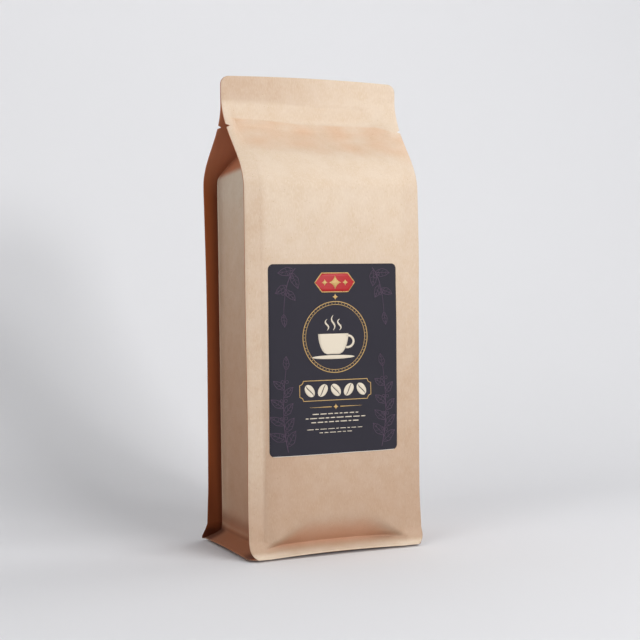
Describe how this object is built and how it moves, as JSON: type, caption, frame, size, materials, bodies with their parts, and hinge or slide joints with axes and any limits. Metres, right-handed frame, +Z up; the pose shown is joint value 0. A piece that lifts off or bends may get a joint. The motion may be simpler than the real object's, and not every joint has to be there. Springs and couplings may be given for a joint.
{
  "type": "coffee bag",
  "caption": "Shut, filled kraft-paper coffee bag, standing on its flat bottom: side gussets, welded corner fins, a gabled top with a flat header and tear notches, and a front label.",
  "frame": {"origin": "middle of the bag at the height of the surface it stands on", "axes": "+Z up to the header, the front panel with the label faces -Y, the side gussets face -X and +X"},
  "size_m": [0.1318, 0.086, 0.3193],
  "materials": {
    "kraft_paper": "matte unbleached kraft paper with fine fibres",
    "label_paper": "satin-coated dark navy label paper with a plain print"
  },
  "bodies": {
    "root": {"bag": "kraft_paper", "label": "label_paper"}
  },
  "joints": []
}
